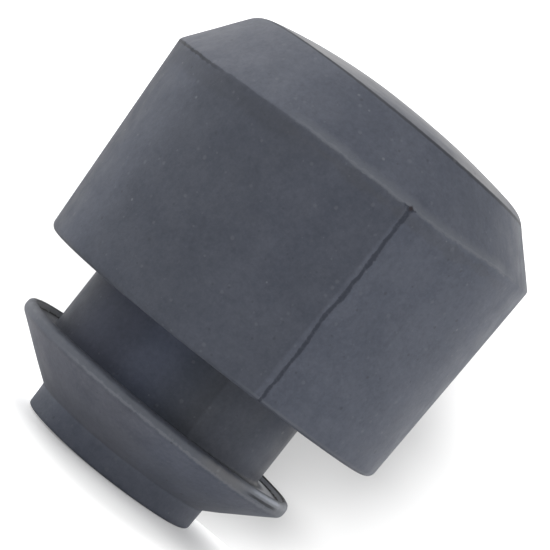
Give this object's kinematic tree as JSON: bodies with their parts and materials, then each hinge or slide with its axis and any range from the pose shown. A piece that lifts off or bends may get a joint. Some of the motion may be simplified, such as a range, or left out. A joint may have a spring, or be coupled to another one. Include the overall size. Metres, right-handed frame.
{
  "type": "compressor damper",
  "caption": "One-piece rubber damper: a thick bevelled head with a low domed crown, a grooved neck for a plate's round hole, and a barbed nose that pushes through it.",
  "frame": {"origin": "middle of the flat end of the nose, on the axis that the nose, lip and neck share", "axes": "+Z from the nose up to the crown; +X towards the side where the head overhangs the neck most; one mould seam is on the -Y side, turned a little towards +X"},
  "size_m": [0.0299, 0.03, 0.0327],
  "materials": {
    "rubber": "matt slate-grey moulded rubber with a light dusty bloom"
  },
  "bodies": {
    "root": {"damper": "rubber"}
  },
  "joints": []
}
